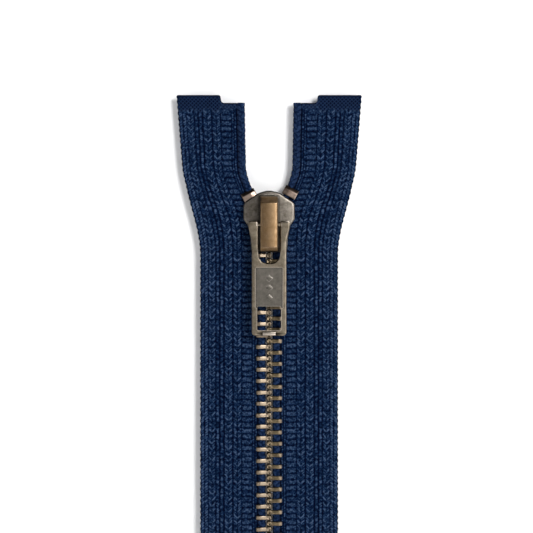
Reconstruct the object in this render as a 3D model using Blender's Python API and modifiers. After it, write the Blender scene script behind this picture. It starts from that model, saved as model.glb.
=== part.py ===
"""Closed-end metal zipper: two woven tapes, two rows of brass teeth on corded edges, an auto-lock
slider with its pull, and top and bottom stops.

The chain runs up along +Z and is closed. The front of the zipper faces -Y. The origin is at the
middle of the overall width and thickness, level with the lower tape ends.
Lengths in this file are in millimetres and become metres as each part is finished.
"""

import math

import bpy
import bmesh
from mathutils import Matrix, Vector

METRES_PER_MM = 0.001

# Tapes: distances across are measured from the chain's centre line
TAPE_LENGTH = 143.6
TAPE_EDGE = 15.8
TAPE_INNER_EDGE = 2.65
STRIP_START = 6.2
WEB_THICKNESS = 0.66
STRIP_THICKNESS = 0.56
TAPE_TOP_STEP = 1.8
TAPE_TOP_STEP_FROM_BEAD = 4.4

# Beads: the cords along the tapes' inner edges, which carry the teeth
BEAD_RADIUS = 0.93
BEAD_CENTRE = 1.63

# Teeth
PITCH = 2.6
TEETH_PER_SIDE = 36
LOWER_TEETH = 2
FIRST_RIGHT_TOOTH_Z = 25.04
TOOTH_OUTER_END = 2.97
TOOTH_HEAD = 0.62
TOOTH_LEG_HALF_HEIGHT = 0.47
TOOTH_THICKNESS = 2.5
LEG_SLOT_START = 2.58
LEG_SLOT_WIDTH = 0.76

# The beads part inside the slider and run up to the open tape ends
SPREAD_START_Z = 113.0
SPREAD_LENGTH = 14.6
SPREAD = 4.5
EDGE_SPREAD_START_Z = 106.5
EDGE_SPREAD_LENGTH = 21.0
EDGE_SPREAD = 3.9
FLARE_START_Z = 123.0
BEAD_FLARE = 0.35
EDGE_FLARE = 1.45

# Slider: heights across its thickness are measured from the tape's middle plane, to the front
SLIDER_TOP_Z = 121.7
SLIDER_LENGTH = 14.0
SLIDER_FRONT = 2.55
SLIDER_BACK = 2.45
CHANNEL_HALF_DEPTH = 1.45
CHANNEL_HALF_WIDTH = 3.2
MOUTH_START = 5.2
MOUTH_FLARE = 0.5
TAPE_SLOT_HALF_DEPTH = 0.6
DIAMOND_CLEARANCE = 0.13
COVER_FRONT = 5.85
COVER_WIDTH = 3.9
COVER_TOP_Z = 120.3
COVER_BOTTOM_Z = 107.9
COVER_WALL = 0.6
PIVOT_Z = 114.0
PIVOT_FRONT = 3.7
SLIDER_TRAVEL = 32 * PITCH

# Lock: a lever hooked over a post, with a tip that drops between two teeth, and its spring
LEVER_FRONT = 4.75
LEVER_THICKNESS = 0.35
LEVER_HALF_WIDTH = 0.6
LEVER_PIVOT_Z = 118.4
TIP_Z = 110.84
TIP_HALF_HEIGHT = 0.25
TIP_INNER_X = -0.85
TIP_OUTER_X = -1.45
TIP_END = 1.1
LEVER_FOOT = 0.5
HOLE_CLEARANCE = 0.3
POST_HALF_WIDTH = 0.8
POST_BELOW_PIVOT = 0.6
POST_HEIGHT = 1.2
POST_CLEARANCE = 0.2
SPRING_THICKNESS = 0.18
SPRING_BOW = 0.14
SPRING_WIDTH = 2.0
SPRING_END_GAP = 2.2

# Pull
PULL_THICKNESS = 1.2
PULL_HALF_WIDTH = 3.93
PULL_BOTTOM_Z = 88.75
PULL_BAR_RADIUS = 0.55
PULL_BAR_LENGTH = 5.6
EAR_HALF_WIDTH = 4.72
EAR_ABOVE_PIVOT = 0.8
FORK_HALF_GAP = 2.48
FORK_BOTTOM_Z = 105.2
WINDOW_HALF_WIDTH = 2.72
WINDOW_LOW_Z = 89.95
WINDOW_HIGH_Z = 95.4
PANEL_HALF_WIDTH = 3.05
PANEL_HIGH_Z = 104.2
PANEL_DEPTH = 0.25

# Stops
BOTTOM_STOP_TOP_Z = 24.3
BOTTOM_STOP_HEIGHT = 3.3
BOTTOM_STOP_HALF_WIDTH = 3.25
TOP_STOP_HEIGHTS = {"left": 120.9, "right": 121.6}
TOP_STOP_HALF_WIDTH = 1.65
TOP_STOP_HALF_HEIGHT = 1.08
TOP_STOP_OUTWARD = 0.45
TOP_STOP_TURN = math.radians(28)
TOP_STOP_JAW_START = 0.82
BEAD_ABOVE_STOP = 2.1

# Each stringer swings outward about a point a little below the bottom stop
OPENING_PIVOT_Z = 17.0

PART_GAP = 0.05
TAPE_SPLIT_LOW_Z = SPREAD_START_Z - SLIDER_TRAVEL
TAPE_SPLIT_HIGH_Z = EDGE_SPREAD_START_Z

# The tape's plane, placed so that the front and the back stand out by the same amount
TAPE_Y = (COVER_FRONT - SLIDER_BACK) / 2

LEFT = -1
RIGHT = 1
SIDES = {"left": LEFT, "right": RIGHT}

NAVY = (0.008, 0.021, 0.058, 1.0)
NAVY_CORD = (0.006, 0.016, 0.045, 1.0)
ANTIQUE_BRASS = (0.23, 0.18, 0.11, 1.0)
TOOTH_BRASS = (0.50, 0.38, 0.22, 1.0)
STOP_BRASS = (0.20, 0.14, 0.10, 1.0)
SPRING_STEEL = (0.42, 0.41, 0.38, 1.0)


def smoothstep(t):
    """0 below t = 0, 1 above t = 1, and a smooth S between them."""
    t = min(max(t, 0.0), 1.0)
    return t * t * (3 - 2 * t)


def ramp(z, start):
    """0 at start, rising evenly to 1 at the tape's top end."""
    return max(0.0, (z - start) / (TAPE_LENGTH - start))


def spread(z):
    """How far a bead at height z lies outside its place in the closed chain."""
    parted = SPREAD * smoothstep((z - SPREAD_START_Z) / SPREAD_LENGTH)
    return parted + BEAD_FLARE * ramp(z, FLARE_START_Z)


def edge_spread(z):
    """How far the tape's outer edge at height z lies outside its place on the closed zipper."""
    parted = EDGE_SPREAD * smoothstep((z - EDGE_SPREAD_START_Z) / EDGE_SPREAD_LENGTH)
    return parted + EDGE_FLARE * ramp(z, FLARE_START_Z)


def heights(low, high, step):
    """Evenly spaced heights from low to high, about step apart, both ends included."""
    count = max(1, math.ceil((high - low) / step))
    return [low + (high - low) * i / count for i in range(count + 1)]


def rounded_outline(corners, steps=3):
    """A closed outline through corners (x, y, radius), each corner turned into an arc."""
    points = []
    for i, (x, y, radius) in enumerate(corners):
        here = Vector((x, y))
        if radius == 0:
            points.append(here)
            continue
        before = (Vector(corners[i - 1][:2]) - here).normalized()
        after = (Vector(corners[(i + 1) % len(corners)][:2]) - here).normalized()
        half_angle = before.angle(after) / 2
        centre = here + (before + after).normalized() * (radius / math.sin(half_angle))
        start = here + before * (radius / math.tan(half_angle)) - centre
        end = here + after * (radius / math.tan(half_angle)) - centre
        sweep = math.atan2(start.cross(end), start.dot(end))
        for k in range(steps + 1):
            points.append(centre + Matrix.Rotation(sweep * k / steps, 2) @ start)
    return points


def mirrored_corners(right_half):
    """Corners of an outline that is the same on both sides, from its right half, bottom to top."""
    return right_half + [(-x, y, radius) for x, y, radius in reversed(right_half)]


def link(name, data, collection):
    """A new object for this data, in the collection."""
    made = bpy.data.objects.new(name, data)
    collection.objects.link(made)
    return made


def weld(mesh):
    """Merges doubled points, such as a curve's loose caps, makes each flat area one face, and
    turns every face outward."""
    work = bmesh.new()
    work.from_mesh(mesh)
    bmesh.ops.remove_doubles(work, verts=work.verts, dist=1e-4)
    bmesh.ops.dissolve_limit(
        work, angle_limit=math.radians(0.1), verts=work.verts, edges=work.edges
    )
    bmesh.ops.recalc_face_normals(work, faces=work.faces)
    work.to_mesh(mesh)
    work.free()


def made_mesh(source):
    """The object as a plain welded mesh object at the same place. The source is removed."""
    bpy.context.view_layer.update()
    graph = bpy.context.evaluated_depsgraph_get()
    mesh = bpy.data.meshes.new_from_object(source.evaluated_get(graph))
    mesh.transform(source.matrix_world)
    weld(mesh)
    name = source.name
    collection = source.users_collection[0]
    bpy.data.objects.remove(source)
    return link(name, mesh, collection)


def plate(name, outline, thickness, plane, middle=0.0):
    """A flat outline as a solid plate. plane is XY, XZ or YZ, and middle is the plate's middle
    along the axis across that plane."""
    curve = bpy.data.curves.new(name, "CURVE")
    curve.dimensions = "2D"
    curve.fill_mode = "BOTH"
    curve.extrude = thickness / 2
    spline = curve.splines.new("POLY")
    spline.points.add(len(outline) - 1)
    for point, (x, y) in zip(spline.points, outline):
        point.co = (x, y, 0, 1)
    spline.use_cyclic_u = True
    made = link(name, curve, bpy.data.collections["cutters"])
    if plane == "XY":
        made.location.z = middle
    elif plane == "XZ":
        made.rotation_euler = (math.radians(90), 0, 0)
        made.location.y = middle
    else:
        made.rotation_euler = (math.radians(90), 0, math.radians(90))
        made.location.x = middle
    return made_mesh(made)


def tube(name, points, radius):
    """A round cord through these points, with closed ends."""
    curve = bpy.data.curves.new(name, "CURVE")
    curve.dimensions = "3D"
    curve.bevel_depth = radius
    curve.bevel_resolution = 1
    curve.use_fill_caps = True
    spline = curve.splines.new("POLY")
    spline.points.add(len(points) - 1)
    for point, place in zip(spline.points, points):
        point.co = (*place, 1)
    return made_mesh(link(name, curve, bpy.data.collections["cutters"]))


def box(name, low, high):
    """A rectangular block between two corners."""
    work = bmesh.new()
    bmesh.ops.create_cube(work, size=1)
    size = Vector(high) - Vector(low)
    bmesh.ops.scale(work, verts=work.verts, vec=size)
    bmesh.ops.translate(work, verts=work.verts, vec=Vector(low) + size / 2)
    mesh = bpy.data.meshes.new(name)
    work.to_mesh(mesh)
    work.free()
    return link(name, mesh, bpy.data.collections["cutters"])


def rod(name, radius, centre, length, sides=16):
    """A straight round rod along X."""
    work = bmesh.new()
    bmesh.ops.create_cone(
        work, cap_ends=True, segments=sides, radius1=radius, radius2=radius, depth=length
    )
    bmesh.ops.rotate(work, verts=work.verts, matrix=Matrix.Rotation(math.radians(90), 3, "Y"))
    bmesh.ops.translate(work, verts=work.verts, vec=centre)
    mesh = bpy.data.meshes.new(name)
    work.to_mesh(mesh)
    work.free()
    return link(name, mesh, bpy.data.collections["cutters"])


def bevelled(target, width, segments=2, angle=50):
    """The target with its sharp edges rounded."""
    bevel = target.modifiers.new("edges", "BEVEL")
    bevel.width = width
    bevel.segments = segments
    bevel.limit_method = "ANGLE"
    bevel.angle_limit = math.radians(angle)
    return made_mesh(target)


def combined(target, tool, operation):
    """The target with the tool cut from it (DIFFERENCE) or joined to it (UNION)."""
    boolean = target.modifiers.new("combine", "BOOLEAN")
    boolean.operation = operation
    boolean.solver = "EXACT"
    boolean.object = tool
    tool.hide_render = True
    tool.display_type = "WIRE"
    result = made_mesh(target)
    bpy.data.objects.remove(tool)
    return result


def joined(name, pieces):
    """Several separate solids as one object."""
    work = bmesh.new()
    for piece in pieces:
        work.from_mesh(piece.data)
        bpy.data.objects.remove(piece)
    mesh = bpy.data.meshes.new(name)
    work.to_mesh(mesh)
    work.free()
    return link(name, mesh, bpy.data.collections["cutters"])


def material(name, colour, roughness, metallic):
    """A Principled material, made once for each name."""
    made = bpy.data.materials.get(name)
    if made is None:
        made = bpy.data.materials.new(name)
        made.use_nodes = True
        shader = made.node_tree.nodes["Principled BSDF"]
        shader.inputs["Base Color"].default_value = colour
        shader.inputs["Roughness"].default_value = roughness
        shader.inputs["Metallic"].default_value = metallic
        made.diffuse_color = colour
    return made


def pivot(name, place, parent=None):
    """An empty on a joint's axis. Its parts hang on it."""
    made = link(name, None, bpy.data.collections["zipper"])
    made.empty_display_size = 2 * METRES_PER_MM
    made.parent = parent
    origin = parent.matrix_world.translation if parent else Vector((0, 0, 0))
    made.location = Vector(place) * METRES_PER_MM - origin
    bpy.context.view_layer.update()
    return made


def finish(solid, name, surface, parent=None):
    """Turns a solid into the named part: in metres, with its material, under its joint's empty."""
    mesh = solid.data
    bpy.data.objects.remove(solid)
    mesh.transform(Matrix.Scale(METRES_PER_MM, 4))
    origin = parent.matrix_world.translation if parent else Vector((0, 0, 0))
    mesh.transform(Matrix.Translation(-origin))
    mesh.name = name
    mesh.materials.append(surface)
    mesh.shade_smooth()
    mesh.set_sharp_from_angle(angle=math.radians(35))
    part = link(name, mesh, bpy.data.collections["zipper"])
    part.parent = parent
    return part


def straight_tape(name, side, low, high):
    """A straight length of woven tape: a thicker web next to the chain and a thinner strip for
    the seam."""
    web = WEB_THICKNESS / 2
    strip = STRIP_THICKNESS / 2
    across = [
        (TAPE_INNER_EDGE, web),
        (STRIP_START, web),
        (STRIP_START, strip),
        (TAPE_EDGE, strip),
    ]
    outline = across + [(u, -t) for u, t in reversed(across)]
    outline = [(side * u, TAPE_Y + t) for u, t in outline]
    return plate(name, outline, high - low, "XY", (low + high) / 2)


def tape_end(name, side):
    """The free top end of a tape: it bends away from the other tape at the slider, and its top is
    cut with a rounded step on the bead side."""
    low = TAPE_SPLIT_HIGH_Z + PART_GAP
    step_z = TAPE_LENGTH - TAPE_TOP_STEP
    inner = [(TAPE_INNER_EDGE + spread(z), z, 0) for z in heights(low, step_z - 0.5, 1.6)]
    bead_side = TAPE_INNER_EDGE + spread(step_z)
    step_u = bead_side + TAPE_TOP_STEP_FROM_BEAD - BEAD_RADIUS
    top = [
        (bead_side, step_z, 0.4),
        (step_u, step_z, 0.7),
        (step_u, TAPE_LENGTH, 0.6),
        (TAPE_EDGE + edge_spread(TAPE_LENGTH), TAPE_LENGTH, 0.4),
    ]
    outer = [(TAPE_EDGE + edge_spread(z), z, 0) for z in heights(low, TAPE_LENGTH - 2, 2.0)]
    outline = rounded_outline(inner + top + outer[::-1])
    outline = [(side * u, z) for u, z in outline]
    return plate(name, outline, STRIP_THICKNESS, "XZ", TAPE_Y)


def tooth_height(side, index):
    """The middle height of one tooth. The left row sits half a pitch above the right row."""
    stagger = PITCH / 2 if side == LEFT else 0
    return FIRST_RIGHT_TOOTH_Z + stagger + PITCH * index


def tooth(side, index):
    """One tooth: a leg block clamped round the bead and a rounded head that meets the other row."""
    leg = TOOTH_LEG_HALF_HEIGHT
    half = [
        (-TOOTH_HEAD, 0.22),
        (-0.38, 0.57),
        (0.15, 0.62),
        (0.55, leg),
        (TOOTH_OUTER_END - 0.2, leg),
        (TOOTH_OUTER_END, leg - 0.2),
    ]
    outline = half + [(u, -v) for u, v in reversed(half)]
    z = tooth_height(side, index)
    outline = [(side * (u + spread(z)), v + z) for u, v in outline]
    return plate("tooth", outline, TOOTH_THICKNESS, "XZ", TAPE_Y)


def bead_points(side, low, high):
    """Points along a bead's middle, close together only where it bends."""
    straight_top = min(max(SPREAD_START_Z, low), high)
    levels = [low] if straight_top > low else []
    if high > straight_top:
        levels += heights(straight_top, high, 1.3)
    else:
        levels.append(high)
    return [(side * (BEAD_CENTRE + spread(z)), TAPE_Y, z) for z in levels]


def chain(name, side, first, last, low, high):
    """A length of bead with its teeth from first to last. The outer ends of the legs are split
    by a slot, so that they straddle the tape's edge."""
    cord = tube(name, bead_points(side, low, high), BEAD_RADIUS)
    teeth = joined("teeth", [tooth(side, i) for i in range(first, last + 1)])
    solid = combined(cord, teeth, "UNION")
    slot_low = tooth_height(side, first) - PITCH / 2
    slot_high = tooth_height(side, last) + PITCH / 2
    levels = [slot_low, slot_high]
    if slot_high > SPREAD_START_Z:
        levels = heights(slot_low, slot_high, PITCH / 2)
    inner = [(side * (LEG_SLOT_START + spread(z)), z) for z in levels]
    outer = [(side * (TOOTH_OUTER_END + 1 + spread(z)), z) for z in reversed(levels)]
    slot = plate("slot", inner + outer, LEG_SLOT_WIDTH, "XZ", TAPE_Y)
    return combined(solid, slot, "DIFFERENCE")


def top_stop(name, side, z):
    """A small block clamped on the bead above the last tooth, turned with the bead. It reaches
    further out than in, over the tape's edge."""
    inner = TOP_STOP_OUTWARD - TOP_STOP_HALF_WIDTH
    outer = TOP_STOP_OUTWARD + TOP_STOP_HALF_WIDTH
    outline = rounded_outline(
        [
            (outer, -TOP_STOP_HALF_HEIGHT, 0.25),
            (outer, TOP_STOP_HALF_HEIGHT, 0.25),
            (inner, TOP_STOP_HALF_HEIGHT, 0.25),
            (inner, -TOP_STOP_HALF_HEIGHT, 0.25),
        ],
        steps=2,
    )
    block = plate(name, outline, TOOTH_THICKNESS, "XZ")
    half_gap = LEG_SLOT_WIDTH / 2
    jaw_gap = box("jaw_gap", (TOP_STOP_JAW_START, -half_gap, -3), (3, half_gap, 3))
    block = combined(block, jaw_gap, "DIFFERENCE")
    turn = Matrix.Rotation(TOP_STOP_TURN, 4, "Y")
    place = Matrix.Translation((BEAD_CENTRE + spread(z), TAPE_Y, z))
    block.data.transform(place @ turn)
    if side == LEFT:
        block.data.transform(Matrix.Scale(-1, 4, (1, 0, 0)))
        block.data.flip_normals()
    return block


def bottom_stop():
    """A staple across both beads: front and back bars joined between the beads."""
    half_width = BOTTOM_STOP_HALF_WIDTH
    low = BOTTOM_STOP_TOP_Z - BOTTOM_STOP_HEIGHT
    outline = rounded_outline(
        mirrored_corners([(half_width, low, 0.5), (half_width, BOTTOM_STOP_TOP_Z, 0.5)])
    )
    block = plate("bottom_stop", outline, TOOTH_THICKNESS + 0.2, "XZ", TAPE_Y)
    block = bevelled(block, 0.25)
    for side in SIDES.values():
        ends = [(side * BEAD_CENTRE, TAPE_Y, z) for z in (low - 1, BOTTOM_STOP_TOP_Z + 1)]
        block = combined(block, tube("bead_hole", ends, BEAD_RADIUS + PART_GAP), "DIFFERENCE")
        sides = sorted((side * (BEAD_CENTRE + 0.5), side * (half_width + 1)))
        half_slot = LEG_SLOT_WIDTH / 2
        slot = box(
            "tape_slot",
            (sides[0], TAPE_Y - half_slot, low - 1),
            (sides[1], TAPE_Y + half_slot, BOTTOM_STOP_TOP_Z + 1),
        )
        block = combined(block, slot, "DIFFERENCE")
    return block


def lane_cutter():
    """The Y-shaped channel for the chain: one lane at the tail, two at the mouth, with the diamond
    left standing between them."""
    low = SLIDER_TOP_Z - SLIDER_LENGTH - 1
    high = SLIDER_TOP_Z + 2
    mouth = SLIDER_TOP_Z - MOUTH_START
    wall = [
        (CHANNEL_HALF_WIDTH + spread(z) + MOUTH_FLARE * smoothstep((z - mouth) / 2), z)
        for z in heights(low, high, 1.0)
    ]
    tip = SPREAD_START_Z
    while spread(tip) < TOOTH_HEAD + DIAMOND_CLEARANCE:
        tip += 0.05
    diamond = [
        (spread(z) - TOOTH_HEAD - DIAMOND_CLEARANCE, z) for z in heights(tip, high, 0.8)
    ][1:]
    right = wall + diamond[::-1]
    left = [(-x, z) for x, z in reversed(right)]
    return plate("lanes", right + [(0, tip)] + left, 2 * CHANNEL_HALF_DEPTH, "XZ", TAPE_Y)


def slider_body():
    """The die-cast body: a front and a back plate with flanges along their sides, joined by the
    diamond, with the post that holds the lock lever and the hole for its tip."""
    top = SLIDER_TOP_Z
    tail = top - SLIDER_LENGTH
    outline = rounded_outline(
        mirrored_corners(
            [
                (4.05, tail, 0.6),
                (4.25, tail + 3.2, 3.0),
                (4.8, top - 8.0, 1.5),
                (5.8, top - 6.5, 0.8),
                (5.8, top - 2.8, 1.5),
                (2.4, top - 0.5, 3.0),
                (0.6, top, 2.0),
            ]
        )
    )
    depth = SLIDER_FRONT + SLIDER_BACK
    body = plate("slider_body", outline, depth, "XZ", TAPE_Y + (SLIDER_BACK - SLIDER_FRONT) / 2)
    body = bevelled(body, 0.4)
    body = combined(body, lane_cutter(), "DIFFERENCE")
    for side in SIDES.values():
        levels = heights(tail - 1, top + 2, 2.0)
        inner = [(side * (CHANNEL_HALF_WIDTH - 0.5 + spread(z)), z) for z in levels]
        outer = [(side * 12, top + 2), (side * 12, tail - 1)]
        slot = plate("tape_slot", inner + outer, 2 * TAPE_SLOT_HALF_DEPTH, "XZ", TAPE_Y)
        body = combined(body, slot, "DIFFERENCE")
    under_lever = TAPE_Y - LEVER_FRONT + LEVER_THICKNESS
    post_top = LEVER_PIVOT_Z - POST_BELOW_PIVOT
    post = box(
        "post",
        (-POST_HALF_WIDTH, under_lever + POST_CLEARANCE, post_top - POST_HEIGHT),
        (POST_HALF_WIDTH, TAPE_Y - SLIDER_FRONT + 0.5, post_top),
    )
    body = combined(body, post, "UNION")
    half_hole = TIP_HALF_HEIGHT + HOLE_CLEARANCE
    hole = box(
        "lock_hole",
        (TIP_OUTER_X - HOLE_CLEARANCE, TAPE_Y - SLIDER_FRONT - 1, TIP_Z - half_hole),
        (TIP_INNER_X + HOLE_CLEARANCE, TAPE_Y - CHANNEL_HALF_DEPTH + 0.3, TIP_Z + half_hole),
    )
    return combined(body, hole, "DIFFERENCE")


def cover_profile(inset):
    """The cover's side outline in (y, z), sloped at both ends, drawn in by inset. It runs on past
    the foot, which is cut level later."""
    front = TAPE_Y - COVER_FRONT + inset
    foot = TAPE_Y - SLIDER_FRONT + 1 + inset
    low = COVER_BOTTOM_Z + inset
    high = COVER_TOP_Z - inset
    return [
        (foot, low),
        (foot, high),
        (front + 1.3, high),
        (front, high - 1.4 + inset / 2),
        (front, low + 0.9 - inset / 3),
        (front + 0.9, low),
    ]


def slider_cover():
    """The stamped cover over the lock lever: a hollow cap that is open to the plate, with a window
    in each side for the pull's bar."""
    cap = plate("slider_cover", cover_profile(0), COVER_WIDTH, "YZ")
    cap = bevelled(cap, 0.3, angle=30)
    cavity = plate("cavity", cover_profile(COVER_WALL), COVER_WIDTH - 0.9, "YZ")
    cap = combined(cap, cavity, "DIFFERENCE")
    below = box(
        "below_foot",
        (-3, TAPE_Y - SLIDER_FRONT - PART_GAP, COVER_BOTTOM_Z - 1),
        (3, TAPE_Y + 3, COVER_TOP_Z + 1),
    )
    cap = combined(cap, below, "DIFFERENCE")
    window = box(
        "bar_window",
        (-3, TAPE_Y - PIVOT_FRONT - 0.9, PIVOT_Z - 1.1),
        (3, TAPE_Y, PIVOT_Z + 1.1),
    )
    return combined(cap, window, "DIFFERENCE")


def lock_lever():
    """The lever under the cover: it hooks over the post, runs over the pull's bar, and its tip
    drops through the front plate between two teeth."""
    front = TAPE_Y - LEVER_FRONT
    foot = TAPE_Y - SLIDER_FRONT - LEVER_FOOT
    half_width = LEVER_HALF_WIDTH
    arm = box(
        "lock_lever",
        (-half_width, front, TIP_Z),
        (half_width, front + LEVER_THICKNESS, LEVER_PIVOT_Z + 0.3),
    )
    hook = box(
        "hook",
        (-half_width, front + 0.1, LEVER_PIVOT_Z - 0.2),
        (half_width, foot, LEVER_PIVOT_Z + 0.2),
    )
    tip_outline = [
        (TIP_OUTER_X, front + 0.05),
        (half_width - 0.1, front + 0.05),
        (half_width - 0.1, foot),
        (TIP_INNER_X, foot),
        (TIP_INNER_X, TAPE_Y - TIP_END),
        (TIP_OUTER_X, TAPE_Y - TIP_END),
    ]
    tip = plate("tip", tip_outline, 2 * TIP_HALF_HEIGHT, "XY", TIP_Z)
    lever = combined(arm, hook, "UNION")
    return combined(lever, tip, "UNION")


def leaf_spring():
    """The leaf spring between the lever and the cover: a thin strip, bowed towards the lever."""
    front = TAPE_Y - COVER_FRONT + COVER_WALL + 0.08
    low = COVER_BOTTOM_Z + SPRING_END_GAP
    high = COVER_TOP_Z - SPRING_END_GAP
    middle = (low + high) / 2
    strip = [
        (front + SPRING_BOW * (1 - ((z - middle) / (high - middle)) ** 2), z)
        for z in heights(low, high, 1.0)
    ]
    outline = strip + [(y + SPRING_THICKNESS, z) for y, z in reversed(strip)]
    return plate("leaf_spring", outline, SPRING_WIDTH, "YZ")


def pull_tab():
    """The pull: a flat fork whose ears carry the round bar under the cover, with a recessed panel
    and a window at its free end."""
    ear_top = PIVOT_Z + EAR_ABOVE_PIVOT
    outline = rounded_outline(
        mirrored_corners(
            [
                (PULL_HALF_WIDTH, PULL_BOTTOM_Z, 0.8),
                (PULL_HALF_WIDTH, PIVOT_Z - 4.0, 5.0),
                (EAR_HALF_WIDTH, PIVOT_Z - 0.6, 0.8),
                (EAR_HALF_WIDTH, ear_top, 0.3),
                (FORK_HALF_GAP, ear_top, 0.2),
                (FORK_HALF_GAP, FORK_BOTTOM_Z, 2.1),
            ]
        )
    )
    middle = TAPE_Y - PIVOT_FRONT
    tab = plate("pull_tab", outline, PULL_THICKNESS, "XZ", middle)
    tab = bevelled(tab, 0.25, segments=1)
    window = rounded_outline(
        mirrored_corners(
            [(WINDOW_HALF_WIDTH, WINDOW_LOW_Z, 0.35), (WINDOW_HALF_WIDTH, WINDOW_HIGH_Z, 0.35)]
        )
    )
    tab = combined(tab, plate("window", window, 4, "XZ", middle), "DIFFERENCE")
    recess = box(
        "panel",
        (-PANEL_HALF_WIDTH, middle - 2, WINDOW_HIGH_Z - 0.4),
        (PANEL_HALF_WIDTH, middle - PULL_THICKNESS / 2 + PANEL_DEPTH, PANEL_HIGH_Z),
    )
    tab = combined(tab, recess, "DIFFERENCE")
    bar = rod("bar", PULL_BAR_RADIUS, (0, middle, PIVOT_Z), PULL_BAR_LENGTH)
    return combined(tab, bar, "UNION")


def build_stringer(word, side, surfaces):
    """One side of the zipper: its tape, bead and teeth, in the lengths that move apart."""
    pivot_place = (0, TAPE_Y, OPENING_PIVOT_Z)
    stringer = pivot(word + "_stringer_pivot", pivot_place)
    end = pivot(word + "_tape_end_slide", (0, TAPE_Y, SPREAD_START_Z), stringer)
    low_tape = straight_tape("tape", side, 0, TAPE_SPLIT_LOW_Z)
    finish(low_tape, word + "_lower_tape", surfaces["tape"])
    high_tape = straight_tape("tape", side, TAPE_SPLIT_LOW_Z + PART_GAP, TAPE_SPLIT_HIGH_Z)
    finish(high_tape, word + "_upper_tape", surfaces["tape"], stringer)
    finish(tape_end("tape", side), word + "_tape_end", surfaces["tape"], end)

    chain_split = tooth_height(side, LOWER_TEETH) - PITCH / 2
    low_chain = chain("chain", side, 0, LOWER_TEETH - 1, 0, chain_split)
    finish(low_chain, word + "_lower_chain", surfaces["teeth"])
    top_z = tooth_height(side, TEETH_PER_SIDE - 1) + TOOTH_LEG_HALF_HEIGHT + 0.2
    high_chain = chain(
        "chain", side, LOWER_TEETH, TEETH_PER_SIDE - 1, chain_split + PART_GAP, top_z
    )
    finish(high_chain, word + "_upper_chain", surfaces["teeth"], stringer)
    stop_z = TOP_STOP_HEIGHTS[word]
    bead_low = stop_z + BEAD_ABOVE_STOP
    bead_high = TAPE_LENGTH - TAPE_TOP_STEP
    bead = tube("bead", bead_points(side, bead_low, bead_high), BEAD_RADIUS)
    finish(bead, word + "_bead_end", surfaces["cord"], end)

    # The stop turns upright about a point below it, while the bead swings back into line
    offset = spread(stop_z)
    drop = offset / (2 * math.tan(TOP_STOP_TURN / 2))
    place = (side * (BEAD_CENTRE + offset / 2), TAPE_Y, stop_z - drop)
    stop = pivot(word + "_top_stop_pivot", place, stringer)
    finish(top_stop("stop", side, stop_z), word + "_top_stop", surfaces["stop"], stop)


def build_slider(surfaces):
    """The slider: the body and its cover, the lock parts and the pull."""
    slider = pivot("slider_slide", (0, TAPE_Y, SLIDER_TOP_Z - SLIDER_LENGTH))
    lever_pivot = pivot("lock_lever_pivot", (0, TAPE_Y - LEVER_FRONT + 0.5, LEVER_PIVOT_Z), slider)
    pull_pivot = pivot("pull_pivot", (0, TAPE_Y - PIVOT_FRONT, PIVOT_Z), slider)
    finish(slider_body(), "slider_body", surfaces["slider"], slider)
    finish(slider_cover(), "slider_cover", surfaces["cover"], slider)
    finish(leaf_spring(), "leaf_spring", surfaces["spring"], slider)
    finish(lock_lever(), "lock_lever", surfaces["spring"], lever_pivot)
    finish(pull_tab(), "pull_tab", surfaces["slider"], pull_pivot)


def main():
    for old in list(bpy.data.objects):
        bpy.data.objects.remove(old)
    for name in ("zipper", "cutters"):
        bpy.context.scene.collection.children.link(bpy.data.collections.new(name))
    surfaces = {
        "tape": material("navy_tape", NAVY, 0.85, 0.0),
        "cord": material("navy_cord", NAVY_CORD, 0.85, 0.0),
        "teeth": material("tooth_brass", TOOTH_BRASS, 0.35, 1.0),
        "stop": material("stop_brass", STOP_BRASS, 0.4, 1.0),
        "slider": material("antique_brass", ANTIQUE_BRASS, 0.4, 1.0),
        "cover": material("cover_brass", ANTIQUE_BRASS, 0.35, 1.0),
        "spring": material("spring_steel", SPRING_STEEL, 0.35, 1.0),
    }
    for word, side in SIDES.items():
        build_stringer(word, side, surfaces)
    finish(bottom_stop(), "bottom_stop", surfaces["stop"])
    build_slider(surfaces)


main()
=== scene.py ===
"""The looks of a closed-end metal zipper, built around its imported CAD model.

The chain runs up along +Z and the front faces -Y. Shapes are worked out in millimetres, with u as the
distance from the chain's centre line, and become metres as each piece is finished.
"""

import math

import bmesh
import bpy
import numpy as np
from mathutils import Matrix, Vector


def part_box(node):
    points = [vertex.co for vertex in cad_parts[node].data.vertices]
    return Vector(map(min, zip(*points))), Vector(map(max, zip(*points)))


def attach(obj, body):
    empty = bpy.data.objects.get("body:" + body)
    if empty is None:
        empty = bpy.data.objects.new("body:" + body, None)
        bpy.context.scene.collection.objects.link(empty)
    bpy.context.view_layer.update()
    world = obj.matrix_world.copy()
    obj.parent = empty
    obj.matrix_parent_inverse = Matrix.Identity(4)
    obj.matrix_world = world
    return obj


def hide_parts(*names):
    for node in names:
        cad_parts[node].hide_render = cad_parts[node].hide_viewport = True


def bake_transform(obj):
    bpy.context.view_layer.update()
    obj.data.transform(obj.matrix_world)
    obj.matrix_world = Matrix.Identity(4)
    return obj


MM = 0.001
LEFT = -1
RIGHT = 1
SIDES = {"left": LEFT, "right": RIGHT}

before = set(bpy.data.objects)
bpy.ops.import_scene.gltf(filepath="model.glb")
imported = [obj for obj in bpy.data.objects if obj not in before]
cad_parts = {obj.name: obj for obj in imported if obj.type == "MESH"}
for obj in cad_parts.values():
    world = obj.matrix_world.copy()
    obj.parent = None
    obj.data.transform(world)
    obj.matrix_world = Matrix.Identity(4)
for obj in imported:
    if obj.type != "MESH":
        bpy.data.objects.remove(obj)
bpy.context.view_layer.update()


def low_mm(node):
    """The lowest corner of a CAD node, in millimetres."""
    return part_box(node)[0] / MM


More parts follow.
